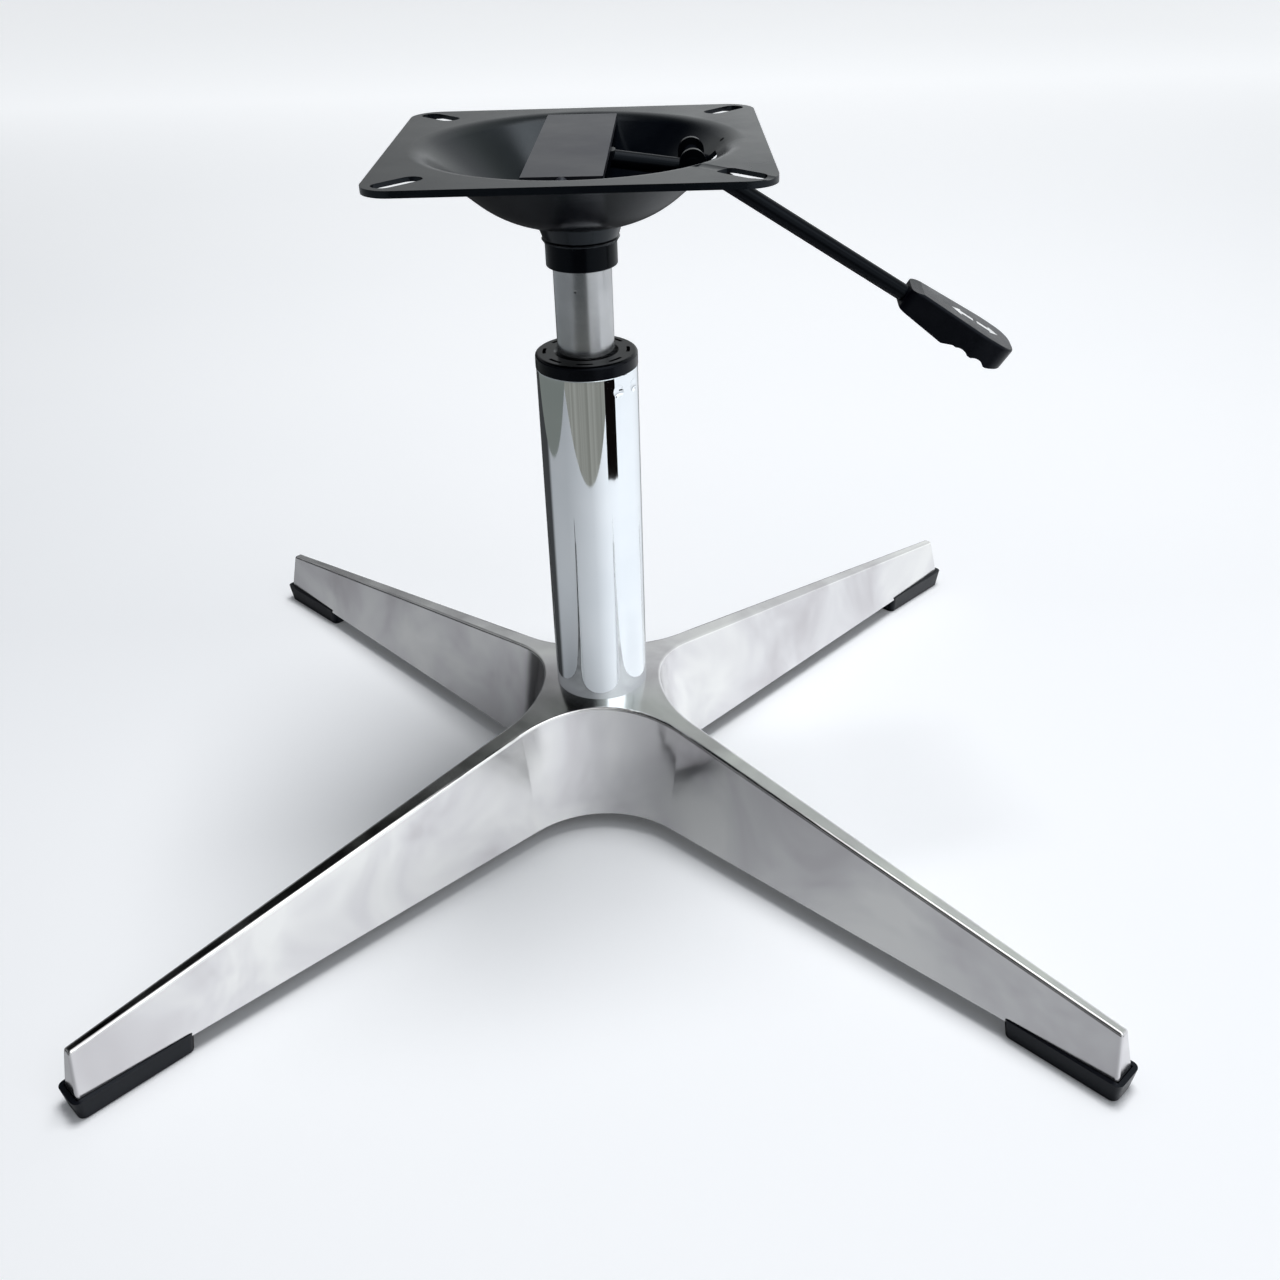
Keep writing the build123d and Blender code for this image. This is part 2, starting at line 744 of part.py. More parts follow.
# Bridge strap: a flat bar across the bowl, with a weld bead at the middle of each end
strap_bottom = plate_top - strap_thick
strap_half = rim_place - strap_inset
strap_plane = plate_plane.rotated((0, 0, -strap_skew)).offset(strap_bottom)

with BuildPart() as bridge_strap:
    with BuildSketch(strap_plane):
        with Locations((-strap_shift, 0)):
            Rectangle(strap_width, 2 * strap_half)
    extrude(amount=strap_thick)
    for end in (-strap_half, strap_half):
        with Locations(strap_plane.location * Location((-strap_shift, end, 0))):
            Sphere(strap_thick, arc_size1=0, align=(Align.CENTER, Align.CENTER, Align.MIN))
    add(seat_plate.part, mode=Mode.SUBTRACT)

bridge_strap.part.label = "bridge_strap"
export_step(bridge_strap.part, "parts/bridge_strap.step")

# The lever's two ears, welded to the bowl either side of the window
ear_outer_face = ear_inner_face + ear_thick
pivot_height = plate_top - pivot_drop
ear_round_height = pivot_height + ear_rise - ear_half


def bowl_floor(place):
    """Height of the bowl's upper surface on its straight slope."""
    return knee_height + (place - knee_place) * tan(bowl_slope) + sheet / cos(bowl_slope)


for name, face in (("lever_ear_left", ear_inner_face), ("lever_ear_right", -ear_outer_face)):
    with BuildPart() as ear:
        with BuildSketch(lever_side.offset(face)):
            Polygon(
                (pivot_place - ear_half, bowl_floor(pivot_place - ear_half)),
                (pivot_place + ear_half, bowl_floor(pivot_place + ear_half)),
                (pivot_place + ear_half, ear_round_height),
                (pivot_place - ear_half, ear_round_height), align=None,
            )
            with Locations((pivot_place, ear_round_height)):
                Circle(ear_half)
            with Locations((pivot_place, pivot_height)):
                Circle(pivot_radius + seat_fit, mode=Mode.SUBTRACT)
        extrude(amount=ear_thick)
        add(seat_plate.part, mode=Mode.SUBTRACT)
    ear.part.label = name
    export_step(ear.part, f"parts/{name}.step")

# Pivot pin through both ears
with BuildPart() as pivot_pin:
    for reach, size in ((ear_outer_face, pivot_radius), (ear_outer_face + pivot_head, pivot_head_radius)):
        with BuildSketch(lever_side):
            with Locations((pivot_place, pivot_height)):
                Circle(size)
        extrude(amount=reach, both=True)
        if size > pivot_radius:
            with BuildSketch(lever_side):
                with Locations((pivot_place, pivot_height)):
                    Circle(size)
                    Circle(pivot_radius, mode=Mode.SUBTRACT)
            extrude(amount=ear_outer_face, both=True, mode=Mode.SUBTRACT)

pivot_pin.part.label = "pivot_pin"
export_step(pivot_pin.part, "parts/pivot_pin.step")

# Lever rod: bent round bar with a flat blade over the release pin
def inner_height(place):
    """Height of the rod's middle on its inner stretch."""
    return pivot_height - rod_drop - (place - pivot_place) * tan(inner_slope)


def outer_height(place):
    """Height of the rod's middle on its outer stretch."""
    return inner_height(bend_place) - (place - bend_place) * tan(outer_slope)


rod_start_place = blade_outer - blade_lap

with BuildPart() as lever_rod:
    with BuildLine(lever_side) as rod_path:
        FilletPolyline(
            (rod_start_place, inner_height(rod_start_place)),
            (bend_place, inner_height(bend_place)),
            (rod_end_place, outer_height(rod_end_place)), radius=bend_radius,
        )
    with BuildSketch(Plane(rod_path.line @ 0, z_dir=rod_path.line % 0)):
        Circle(lever_radius)
    sweep(path=rod_path.line)
    with BuildSketch(plate_plane.offset(blade_bottom)):
        with Locations(((blade_inner + blade_outer) / 2, 0)):
            RectangleRounded(blade_outer - blade_inner, 2 * blade_half, blade_thick)
    extrude(amount=blade_thick)
    with BuildSketch(lever_side):
        with Locations((pivot_place, pivot_height)):
            Circle(hub_radius)
    extrude(amount=ear_inner_face - free_gap, both=True)
    with BuildSketch(lever_side):
        with Locations((pivot_place, pivot_height)):
            Circle(pivot_radius + running_fit)
    extrude(amount=ear_inner_face, both=True, mode=Mode.SUBTRACT)

lever_rod.part.label = "lever_rod"
export_step(lever_rod.part, "parts/lever_rod.step")

# Handle: a moulded paddle pushed onto the rod, with finger hollows underneath
handle_entry = lever_side.from_local_coords((handle_place, outer_height(handle_place), 0))
rod_along = lever_side.from_local_coords((1, -tan(outer_slope), 0)) - lever_side.origin
handle_face = lever_side.z_dir.rotate(Axis((0, 0, 0), rod_along), handle_roll)
handle_side = Plane(handle_entry, x_dir=rod_along, z_dir=handle_face)
handle_plan = Plane(handle_entry, x_dir=rod_along, z_dir=handle_side.y_dir)
rod_inside = (rod_end_place - handle_place) / cos(outer_slope)


with BuildPart() as lever_handle:
    with BuildSketch(handle_plan.offset(-2 * handle_top)):
        with BuildLine():
            FilletPolyline(
                (handle_start, 0), (handle_start, handle_root_half), handle_wide,
                (handle_end, handle_tip_half), (handle_end, 0),
                radius=[handle_root_round, handle_wide_round, handle_tip_round],
            )
            mirror(about=Plane.XZ)
        make_face()
    extrude(amount=3 * handle_top)
    fillet(lever_handle.faces().sort_by(Axis(handle_entry, handle_plan.z_dir))[-1].edges(), handle_round)
    with BuildSketch(handle_side):
        Polygon(
            (handle_start, -handle_root), handle_belly, handle_step, handle_heel,
            (handle_end, handle_nose), (handle_end, handle_top),
            (handle_start + handle_ramp, handle_top), (handle_start, handle_root), align=None,
        )
        for place in finger_places:
            with Locations((place, handle_step[1] - finger_radius + finger_depth)):
                Circle(finger_radius, mode=Mode.SUBTRACT)
    extrude(amount=2 * handle_wide[1], both=True, mode=Mode.INTERSECT)
    with BuildSketch(Plane(handle_entry, x_dir=lever_side.z_dir, z_dir=rod_along).offset(handle_start)):
        Circle(lever_radius + seat_fit)
    extrude(amount=rod_inside - handle_start, mode=Mode.SUBTRACT)

lever_handle.part.label = "lever_handle"
export_step(lever_handle.part, "parts/lever_handle.step")
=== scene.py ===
# %% [markdown]
# # The looks of a swivel chair base
#
# The frame gives every metal and plastic solid at its real place: a cast star on
# four pads, a chromed column, a gas cylinder, and a seat plate with its lever.
# This lesson adds what the solids can't say: how each surface is finished, the weld
# beads, the mark on the handle, the studio around the part, and the camera.

import json
from math import cos, pi, radians, sin

import bpy
from mathutils import Matrix, Vector


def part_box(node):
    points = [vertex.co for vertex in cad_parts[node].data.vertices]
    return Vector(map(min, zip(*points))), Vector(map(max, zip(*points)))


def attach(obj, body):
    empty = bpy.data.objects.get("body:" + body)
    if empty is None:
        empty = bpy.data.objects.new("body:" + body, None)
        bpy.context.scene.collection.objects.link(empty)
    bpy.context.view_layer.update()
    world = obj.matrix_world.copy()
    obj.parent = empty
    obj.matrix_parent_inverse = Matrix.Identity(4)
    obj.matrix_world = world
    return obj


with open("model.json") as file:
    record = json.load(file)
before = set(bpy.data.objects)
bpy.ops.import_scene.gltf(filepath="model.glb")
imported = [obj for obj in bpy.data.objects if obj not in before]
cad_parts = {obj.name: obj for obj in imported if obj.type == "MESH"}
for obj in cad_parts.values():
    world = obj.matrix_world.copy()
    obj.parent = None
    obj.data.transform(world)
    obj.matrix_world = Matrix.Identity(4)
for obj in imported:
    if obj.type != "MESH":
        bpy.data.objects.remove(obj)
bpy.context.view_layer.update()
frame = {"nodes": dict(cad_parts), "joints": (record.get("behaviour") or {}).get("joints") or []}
nodes = frame["nodes"]

# %% [markdown]
# ## Directions that the whole part shares
#
# The arms lie along X and Y. The seat plate and the lever stand at 45 degrees to
# them. It helps to name the lever's own directions once: outwards along the lever,
# and sideways across it. The outer stretch of its rod falls away from the plate,
# and the handle sits on it, rolled by five degrees. The pivot is read from the joint,
# and where the handle begins and ends is read from its mesh further down.

# %% Name the directions
lever_joint = next(j for j in frame["joints"] if j["name"] == "release_lever")
pivot = Vector(lever_joint["pos_m"])
outward = Vector((pivot.x, pivot.y, 0)).normalized()
sideways = Vector((0, 0, 1)).cross(outward)
rod_fall = radians(32.3)
rod_along = outward * cos(rod_fall) - Vector((0, 0, sin(rod_fall)))
rod_normal = outward * sin(rod_fall) + Vector((0, 0, cos(rod_fall)))
handle_roll = radians(5)
roll = Matrix.Rotation(handle_roll, 3, rod_along)
handle_up = roll @ rod_normal
handle_across = roll @ sideways
print("pivot", tuple(round(v, 4) for v in pivot), "outward", tuple(round(v, 3) for v in outward))

# %% [markdown]
# ## Small helpers for materials
#
# A node material is a little tree: coordinates go into a texture, the texture goes
# into a colour, a roughness or a bump, and those go into the Principled shader. Each
# finish below uses the same few steps, so each step is a short function. All
# patterns read Object coordinates. The objects sit at the origin unturned, so one
# unit is one metre, and a scale of 1000 gives grains about a millimetre wide.

# %% Trees and patterns
def node_material(name):
    """A new node material, its tree, its shader and its Object coordinates."""
    material = bpy.data.materials.new(name)
    material.use_nodes = True
    tree = material.node_tree
    tree.nodes.clear()
    output = tree.nodes.new("ShaderNodeOutputMaterial")
    shader = tree.nodes.new("ShaderNodeBsdfPrincipled")
    tree.links.new(shader.outputs["BSDF"], output.inputs["Surface"])
    place = tree.nodes.new("ShaderNodeTexCoord").outputs["Object"]
    return material, tree, shader, place


def stretched(tree, place, scale, turn=(0, 0, 0)):
    """The coordinates turned and scaled along each axis."""
    mapping = tree.nodes.new("ShaderNodeMapping")
    mapping.inputs["Scale"].default_value = scale
    mapping.inputs["Rotation"].default_value = turn
    tree.links.new(place, mapping.inputs["Vector"])
    return mapping.outputs["Vector"]


def clouds(tree, place, scale, detail=2.0, rough=0.5, distortion=0.0):
    """Soft noise between 0 and 1."""
    texture = tree.nodes.new("ShaderNodeTexNoise")
    texture.inputs["Scale"].default_value = scale
    texture.inputs["Detail"].default_value = detail
    texture.inputs["Roughness"].default_value = rough
    texture.inputs["Distortion"].default_value = distortion
    tree.links.new(place, texture.inputs["Vector"])
    return texture.outputs["Fac"]


def cells(tree, place, scale):
    """Distance to the nearest of many scattered points."""
    texture = tree.nodes.new("ShaderNodeTexVoronoi")
    texture.inputs["Scale"].default_value = scale
    tree.links.new(place, texture.inputs["Vector"])
    return texture.outputs["Distance"]


# %% [markdown]
# A texture gives a value, and the next helpers shape it: they stretch it, turn it
# into a colour, and mix or multiply it with others. The inputs of a node are either
# linked to another node or set to a plain number or colour, and `plug` does both.

# %% Values and colours
def plug(tree, value, socket):
    """Puts a socket's output, a number or a colour into an input."""
    if isinstance(value, tuple):
        socket.default_value = (*value, 1)
    elif isinstance(value, (int, float)):
        socket.default_value = value
    else:
        tree.links.new(value, socket)


def spread(tree, value, low, high, start=0.3, end=0.7):
    """Stretches a texture's middle range onto the range from low to high."""
    node = tree.nodes.new("ShaderNodeMapRange")
    node.inputs["From Min"].default_value = start
    node.inputs["From Max"].default_value = end
    node.inputs["To Min"].default_value = low
    node.inputs["To Max"].default_value = high
    tree.links.new(value, node.inputs["Value"])
    return node.outputs["Result"]


def ramp(tree, value, stops):
    """A colour ramp from a list of (position, colour)."""
    node = tree.nodes.new("ShaderNodeValToRGB")
    elements = node.color_ramp.elements
    while len(elements) < len(stops):
        elements.new(0.5)
    for element, (position, colour) in zip(elements, stops):
        element.position = position
        element.color = (*colour, 1)
    tree.links.new(value, node.inputs["Fac"])
    return node.outputs["Color"]


def calc(tree, kind, first, second):
    """One Math node."""
    node = tree.nodes.new("ShaderNodeMath")
    node.operation = kind
    for value, socket in zip((first, second), node.inputs):
        plug(tree, value, socket)
    return node.outputs["Value"]


def product(tree, *values):
    """All the values multiplied."""
    result = values[0]
    for value in values[1:]:
        result = calc(tree, "MULTIPLY", result, value)
    return result


def blend_values(tree, factor, first, second):
    """Mixes two values by a factor."""
    node = tree.nodes.new("ShaderNodeMix")
    for value, index in ((factor, 0), (first, 2), (second, 3)):
        plug(tree, value, node.inputs[index])
    return node.outputs[0]


def blend_colours(tree, factor, first, second):
    """Mixes two colours by a factor."""
    node = tree.nodes.new("ShaderNodeMix")
    node.data_type = "RGBA"
    for value, index in ((factor, 0), (first, 6), (second, 7)):
        plug(tree, value, node.inputs[index])
    return node.outputs[2]


# %% [markdown]
# The stage needs a little more: the parts of a direction, a mix of two shaders and
# a plain glow. A bump takes its depth in metres, so the height that a pattern adds
# is real.

# %% Directions, shaders and bump
def axes(tree, vector):
    """The X, Y and Z of a vector, as sockets with these names."""
    node = tree.nodes.new("ShaderNodeSeparateXYZ")
    tree.links.new(vector, node.inputs["Vector"])
    return node.outputs


def along_fixed(tree, vector, fixed):
    """How far a vector goes along a fixed direction."""
    node = tree.nodes.new("ShaderNodeVectorMath")
    node.operation = "DOT_PRODUCT"
    node.inputs[1].default_value = fixed
    tree.links.new(vector, node.inputs[0])
    return node.outputs["Value"]


def blend_shaders(tree, factor, first, second):
    """Mixes two shaders by a factor."""
    node = tree.nodes.new("ShaderNodeMixShader")
    for value, socket in zip((factor, first, second), node.inputs):
        tree.links.new(value, socket)
    return node.outputs["Shader"]


def glow(tree, colour, strength):
    """One emission."""
    node = tree.nodes.new("ShaderNodeEmission")
    plug(tree, colour, node.inputs["Color"])
    plug(tree, strength, node.inputs["Strength"])
    return node.outputs["Emission"]


def bump(tree, height, depth, below=None):
    """Turns a height from 0 to 1 into a bump of a real depth in metres."""
    node = tree.nodes.new("ShaderNodeBump")
    node.inputs["Distance"].default_value = depth
    tree.links.new(height, node.inputs["Height"])
    if below is not None:
        tree.links.new(below, node.inputs["Normal"])
    return node.outputs["Normal"]


def dress(names, material):
    """Gives CAD nodes a material."""
    for name in names:
        mesh = nodes[name].data
        mesh.materials.clear()
        mesh.materials.append(material)
    print(material.name, "->", ", ".join(names))


print("solids to dress:", len(nodes))

# %% [markdown]
# ## Polished casting
#
# The star is cast aluminium, ground and then polished on a wheel. That leaves a
# bright metal that isn't a flat mirror: the wheel rides over the surface and leaves
# long soft waves, and the shine is cloudy in patches. So the reflections are soft
# and wander. The hollow underside is left as it was cast, grey and rough. Inside an
# arm the walls face its own middle plane, so the sign of position times normal,
# taken across the arm, tells the two apart without painting a mask.

# %% Polished casting
def underside_mask(tree, place):
    """1 on the casting's inner walls and on faces that look down, else 0."""
    at = axes(tree, place)
    facing = axes(tree, tree.nodes.new("ShaderNodeNewGeometry").outputs["True Normal"])
    size_x = calc(tree, "ABSOLUTE", at["X"], 0)
    size_y = calc(tree, "ABSOLUTE", at["Y"], 0)
    along_x = calc(tree, "GREATER_THAN", size_x, size_y)
    out_x = calc(tree, "MULTIPLY", at["X"], facing["X"])
    out_y = calc(tree, "MULTIPLY", at["Y"], facing["Y"])
    across = blend_values(tree, along_x, out_x, out_y)
    inner = calc(tree, "LESS_THAN", across, -0.0005)
    down = calc(tree, "LESS_THAN", facing["Z"], -0.2)
    return calc(tree, "MAXIMUM", inner, down)


def make_polished_casting():
    material, tree, shader, place = node_material("polished_casting")
    patches = clouds(tree, place, 16.0, detail=3.0, rough=0.55, distortion=0.6)
    tint = ramp(tree, patches, [
        (0.32, (0.55, 0.535, 0.55)), (0.5, (0.68, 0.675, 0.685)), (0.68, (0.80, 0.80, 0.79)),
    ])
    cast_grain = clouds(tree, place, 1400.0, detail=3.0)
    cast_grey = ramp(tree, cast_grain, [(0.3, (0.28, 0.28, 0.28)), (0.7, (0.42, 0.42, 0.41))])
    hollow = underside_mask(tree, place)
    tree.links.new(blend_colours(tree, hollow, tint, cast_grey), shader.inputs["Base Color"])
    shine = spread(tree, clouds(tree, place, 28.0, detail=4.0, distortion=0.4), 0.1, 0.24)
    rough = calc(tree, "MAXIMUM", shine, calc(tree, "MULTIPLY", hollow, 0.55))
    tree.links.new(rough, shader.inputs["Roughness"])
    waves = bump(tree, clouds(tree, place, 22.0, detail=1.0), 0.0009)
    ripples = bump(tree, clouds(tree, place, 75.0, detail=1.0), 0.00012, waves)
    skin = calc(tree, "MULTIPLY", cast_grain, hollow)
    tree.links.new(bump(tree, skin, 0.0003, ripples), shader.inputs["Normal"])
    shader.inputs["Metallic"].default_value = 1.0
    return material


polished_casting = make_polished_casting()
dress(["star_base"], polished_casting)

# %% [markdown]
# ## Mirror chrome
#
# The column is a steel tube polished and chromed. Chrome is nearly a perfect
# mirror, a little blue, so almost everything it shows is the room. Only a trace of
# haze and the faintest lengthwise lines of the tube under the plating are added.

# %% Mirror chrome
def make_mirror_chrome():
    material, tree, shader, place = node_material("mirror_chrome")
    haze = clouds(tree, place, 30.0, detail=2.0)
    tree.links.new(
        ramp(tree, haze, [(0.3, (0.79, 0.835, 0.87)), (0.7, (0.84, 0.88, 0.91))]),
        shader.inputs["Base Color"],
    )
    tree.links.new(spread(tree, haze, 0.02, 0.05), shader.inputs["Roughness"])
    lines = clouds(tree, stretched(tree, place, (1, 1, 0.02)), 260.0, detail=1.0)
    tree.links.new(bump(tree, lines, 0.00001), shader.inputs["Normal"])
    shader.inputs["Metallic"].default_value = 1.0
    return material


mirror_chrome = make_mirror_chrome()
dress(["column_tube"], mirror_chrome)

# %% [markdown]
# ## Satin steel
#
# The gas cylinder is ground round and round and then nitrided or oiled, so its
# shine is a broad soft band. Fine rings run round it, and a few tiny pits show where
# it has met a tool. The pits are the very middles of scattered cells: only a cell
# whose distance is nearly zero turns dark.

# %% Satin steel
def make_satin_steel():
    material, tree, shader, place = node_material("satin_steel")
    rings = clouds(tree, stretched(tree, place, (0.02, 0.02, 1)), 3000.0, detail=2.0)
    cloud = clouds(tree, place, 60.0, detail=2.0)
    steel = ramp(tree, cloud, [(0.3, (0.44, 0.45, 0.46)), (0.7, (0.52, 0.53, 0.54))])
    pits = spread(tree, cells(tree, place, 110.0), 1.0, 0.0, start=0.05, end=0.09)
    pitted = blend_colours(tree, pits, steel, (0.10, 0.10, 0.105))
    tree.links.new(pitted, shader.inputs["Base Color"])
    tree.links.new(spread(tree, rings, 0.2, 0.25), shader.inputs["Roughness"])
    ground = bump(tree, rings, 0.000002)
    sunk = calc(tree, "SUBTRACT", 1.0, pits)
    tree.links.new(bump(tree, sunk, 0.00008, ground), shader.inputs["Normal"])
    shader.inputs["Metallic"].default_value = 1.0
    return material


satin_steel = make_satin_steel()
dress(["gas_cylinder"], satin_steel)

# %% [markdown]
# ## Black powder coat
#
# The seat plate, its strap, the ears, the sleeve and the lever are pressed or bent
# steel under a satin black powder coat. Powder melts into a skin with a fine orange
# peel. Seen flat it is nearly black, and along the surface it carries a grey sheen.
# Handling leaves faint dull patches, so roughness wanders slowly too. The strap is
# a little duller and lighter than the plate. The sleeve, the ears, the pin and the
# lever get a painted-shade copy of the coat, blacker and far less glossy, standing in
# for the shade they sit in under and inside the plate.

# %% Black powder coat
def make_black_coat(name, colour, low, high, peel, gloss=0.3):
    material, tree, shader, place = node_material(name)
    handled = clouds(tree, place, 24.0, detail=4.0, rough=0.6)
    lighter = tuple(channel * 1.5 + 0.002 for channel in colour)
    black = ramp(tree, handled, [(0.3, colour), (0.7, lighter)])
    tree.links.new(black, shader.inputs["Base Color"])
    tree.links.new(spread(tree, handled, low, high), shader.inputs["Roughness"])
    skin = bump(tree, clouds(tree, place, 900.0, detail=1.5), peel)
    swell = bump(tree, clouds(tree, place, 45.0, detail=1.0), peel * 6, skin)
    tree.links.new(swell, shader.inputs["Normal"])
    shader.inputs["Specular IOR Level"].default_value = gloss
    shader.inputs["Specular Tint"].default_value = (0.78, 0.9, 1.0, 1)
    return material


black_coat = make_black_coat("black_coat", (0.0008, 0.0014, 0.0026), 0.16, 0.28, 0.000008)
strap_coat = make_black_coat("strap_coat", (0.011, 0.011, 0.015), 0.3, 0.4, 0.00001)
# painted shade: a blacker, less glossy copy of the coat for the parts in the plate's shade
shaded_coat = make_black_coat("shaded_coat", (0.0008, 0.0012, 0.0024), 0.18, 0.26, 0.000008, 0.1)
dress(["seat_plate"], black_coat)
dress(["bridge_strap"], strap_coat)
dress(["socket_sleeve", "lever_ear_left", "lever_ear_right", "pivot_pin", "lever_rod"], shaded_coat)

# %% [markdown]
# ## Black plastics and rubber
#
# Three blacks that differ only in their skin. The ring on the column is moulded
# plastic, smooth and half glossy. The handle is moulded with a fine spark-eroded
# grain. The pads are rubber, softer and a little dusty. One function makes all
# three, because only the grain, the roughness, the gloss and the shade change. It
# makes the pale plastic of the bearing's cage and the piston too.

# %% Black plastics and rubber
def make_moulded(name, colour, rough, grain_scale, grain_depth, dust, gloss=0.3):
    material, tree, shader, place = node_material(name)
    cloud = clouds(tree, place, 90.0, detail=4.0, rough=0.6)
    dusty = tuple(channel + dust for channel in colour)
    tree.links.new(ramp(tree, cloud, [(0.35, colour), (0.75, dusty)]), shader.inputs["Base Color"])
    tree.links.new(spread(tree, cloud, rough - 0.05, rough + 0.06), shader.inputs["Roughness"])
    grain = clouds(tree, place, grain_scale, detail=1.0)
    tree.links.new(bump(tree, grain, grain_depth), shader.inputs["Normal"])
    shader.inputs["Specular IOR Level"].default_value = gloss
    shader.inputs["Specular Tint"].default_value = (0.76, 0.86, 1.0, 1)
    return material


bush_plastic = make_moulded(
    "bush_plastic", (0.0009, 0.001, 0.0024), 0.2, 700.0, 0.00001, 0.0008, 0.14,
)
handle_plastic = make_moulded(
    "handle_plastic", (0.0008, 0.0008, 0.0024), 0.32, 1900.0, 0.00009, 0.001, 0.16,
)
pad_rubber = make_moulded(
    "pad_rubber", (0.0016, 0.002, 0.0038), 0.34, 1300.0, 0.00006, 0.0025, 0.2,
)
cage_plastic = make_moulded(
    "cage_plastic", (0.55, 0.52, 0.45), 0.4, 900.0, 0.00001, 0.03,
)
dress(["guide_bush"], bush_plastic)
dress(["lever_handle"], handle_plastic)
dress([f"foot_pad_{number}" for number in range(1, 5)], pad_rubber)
dress(["rubber_buffer", "piston_ring", "rod_seal", "valve_seals"], pad_rubber)
dress(["ball_cage", "piston"], cage_plastic)

# %% [markdown]
# ## The metals inside
#
# The rod, the bearing and the valve are hidden until the part is opened, but they
# keep their own finish: ground steel with lengthwise lines, and turned brass with
# fine rings.

# %% Inner metals
def make_inner_metal(name, dark, light, stretch):
    material, tree, shader, place = node_material(name)
    lines = clouds(tree, stretched(tree, place, stretch), 2400.0, detail=2.0)
    tree.links.new(ramp(tree, lines, [(0.3, dark), (0.7, light)]), shader.inputs["Base Color"])
    tree.links.new(spread(tree, lines, 0.18, 0.32), shader.inputs["Roughness"])
    tree.links.new(bump(tree, lines, 0.00001), shader.inputs["Normal"])
    shader.inputs["Metallic"].default_value = 1.0
    return material


lengthways = (1, 1, 0.03)
round_about = (0.03, 0.03, 1)
plain_steel = make_inner_metal(
    "plain_steel", (0.46, 0.47, 0.48), (0.58, 0.59, 0.60), lengthways,
)
valve_brass = make_inner_metal(
    "valve_brass", (0.62, 0.45, 0.20), (0.75, 0.58, 0.30), round_about,
)
dress(["rod_guide", "valve_body"], valve_brass)
dress(
    [
        "column_floor", "lower_race", "upper_race", "bearing_balls", "piston_rod",
        "retaining_clip", "clip_washer", "inner_tube", "release_pin",
    ],
    plain_steel,
)

# %% [markdown]
# ## Weld beads
#
# A weld is a row of overlapping drops, each a little different. That is what
# Geometry Nodes do well: a curve is cut into even steps, a small drop is put on
# every step with a seeded random size, and the drops are realised into one mesh.
# The tree has named inputs for the spacing and the drop's size. The result is
# turned into a plain mesh, because a live modifier would be lost in the export.

# %% Weld bead tree
def make_bead_tree():
    """A node tree that strings small drops along a curve."""
    tree = bpy.data.node_groups.new("weld_bead", "GeometryNodeTree")
    for label, kind in (
        ("Geometry", "NodeSocketGeometry"), ("Spacing", "NodeSocketFloat"),
        ("Drop Radius", "NodeSocketFloat"), ("Seed", "NodeSocketInt"),
        ("Material", "NodeSocketMaterial"),
    ):
        tree.interface.new_socket(label, in_out="INPUT", socket_type=kind)
    tree.interface.new_socket("Geometry", in_out="OUTPUT", socket_type="NodeSocketGeometry")
    new = tree.nodes.new
    entry = new("NodeGroupInput")
    exit_node = new("NodeGroupOutput")
    steps = new("GeometryNodeResampleCurve")
    steps.mode = "LENGTH"
    drop = new("GeometryNodeMeshIcoSphere")
    drop.inputs["Subdivisions"].default_value = 3
    size = new("FunctionNodeRandomValue")
    size.inputs[2].default_value = 0.8
    size.inputs[3].default_value = 1.15
    put = new("GeometryNodeInstanceOnPoints")
    realise = new("GeometryNodeRealizeInstances")
    finish = new("GeometryNodeSetMaterial")
    link = tree.links.new
    link(entry.outputs["Geometry"], steps.inputs["Curve"])
    link(entry.outputs["Spacing"], steps.inputs["Length"])
    link(entry.outputs["Drop Radius"], drop.inputs["Radius"])
    link(entry.outputs["Seed"], size.inputs["Seed"])
    link(steps.outputs["Curve"], put.inputs["Points"])
    link(drop.outputs["Mesh"], put.inputs["Instance"])
    link(size.outputs[1], put.inputs["Scale"])
    link(put.outputs["Instances"], realise.inputs["Geometry"])
    link(realise.outputs["Geometry"], finish.inputs["Geometry"])
    link(entry.outputs["Material"], finish.inputs["Material"])
    link(finish.outputs["Geometry"], exit_node.inputs["Geometry"])
    return tree


bead_tree = make_bead_tree()
bead_inputs = [item for item in bead_tree.interface.items_tree if item.in_out == "INPUT"]
print("bead tree inputs:", [item.name for item in bead_inputs])

# %% [markdown]
# The tree needs a curve to work on. This helper draws one through given points,
# hands the tree its numbers, and keeps the mesh that comes out. The bead rides on
# the body it is welded to.

# %% Bead helper
def weld_bead(name, path, spacing, radius, seed, body, material):
    """A bead of drops along a path, as one plain mesh that rides on a body."""
    curve = bpy.data.curves.new(name + "_path", "CURVE")
    curve.dimensions = "3D"
    spline = curve.splines.new("POLY")
    spline.points.add(len(path) - 1)
    for point, place in zip(spline.points, path):
        point.co = (*place, 1)
    guide = bpy.data.objects.new(name + "_path", curve)
    bpy.context.scene.collection.objects.link(guide)
    modifier = guide.modifiers.new("bead", "NODES")
    modifier.node_group = bead_tree
    settings = {"Spacing": spacing, "Drop Radius": radius, "Seed": seed, "Material": material}
    for item in bead_inputs:
        if item.name in settings:
            modifier[item.identifier] = settings[item.name]
    graph = bpy.context.evaluated_depsgraph_get()
    mesh = bpy.data.meshes.new_from_object(guide.evaluated_get(graph), depsgraph=graph)
    bpy.data.objects.remove(guide)
    mesh.shade_smooth()
    bead = bpy.data.objects.new(name, mesh)
    bpy.context.scene.collection.objects.link(bead)
    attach(bead, body)
    print(name, "faces:", len(mesh.polygons))


# %% [markdown]
# The neck's lower edge is welded to the sleeve all round. The sleeve's radius and the
# edge's height are read off the two solids' boxes. The strap's own beads are solids.

